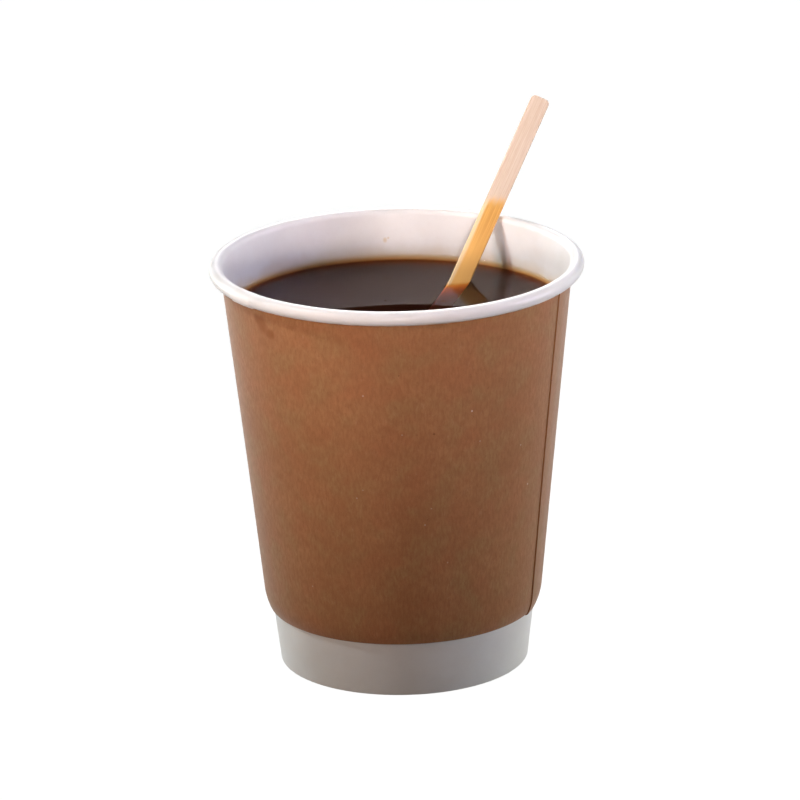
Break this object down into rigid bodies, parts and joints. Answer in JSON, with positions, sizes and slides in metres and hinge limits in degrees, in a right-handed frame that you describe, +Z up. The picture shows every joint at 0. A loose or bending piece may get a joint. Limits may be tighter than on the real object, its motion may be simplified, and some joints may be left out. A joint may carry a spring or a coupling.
{
  "type": "paper coffee cup",
  "caption": "Double-wall paper cup with rolled rim, recessed base and kraft outer sleeve, filled with black coffee, a flat wooden stirrer leaning on the rim.",
  "frame": {"origin": "centre of the ring that the cup stands on, on the cup's axis", "axes": "+Z up along the cup's axis, +X to the right and -Y towards the viewer of the picture; the stirrer leans towards +Y and +X"},
  "size_m": [0.0894, 0.1024, 0.1241],
  "materials": {
    "coated_paper": "white paperboard with a satin water-tight film",
    "disc_paper": "white paperboard with a satin water-tight film",
    "kraft_paper": "matt unbleached kraft with fine fibres",
    "coffee": "glossy liquid",
    "birch_wood": "bare, fine straight grain, wet near the coffee"
  },
  "bodies": {
    "root": {"inner_wall": "coated_paper", "base_disc": "disc_paper", "outer_sleeve": "kraft_paper", "coffee": "coffee", "stirrer": "birch_wood"}
  },
  "joints": []
}
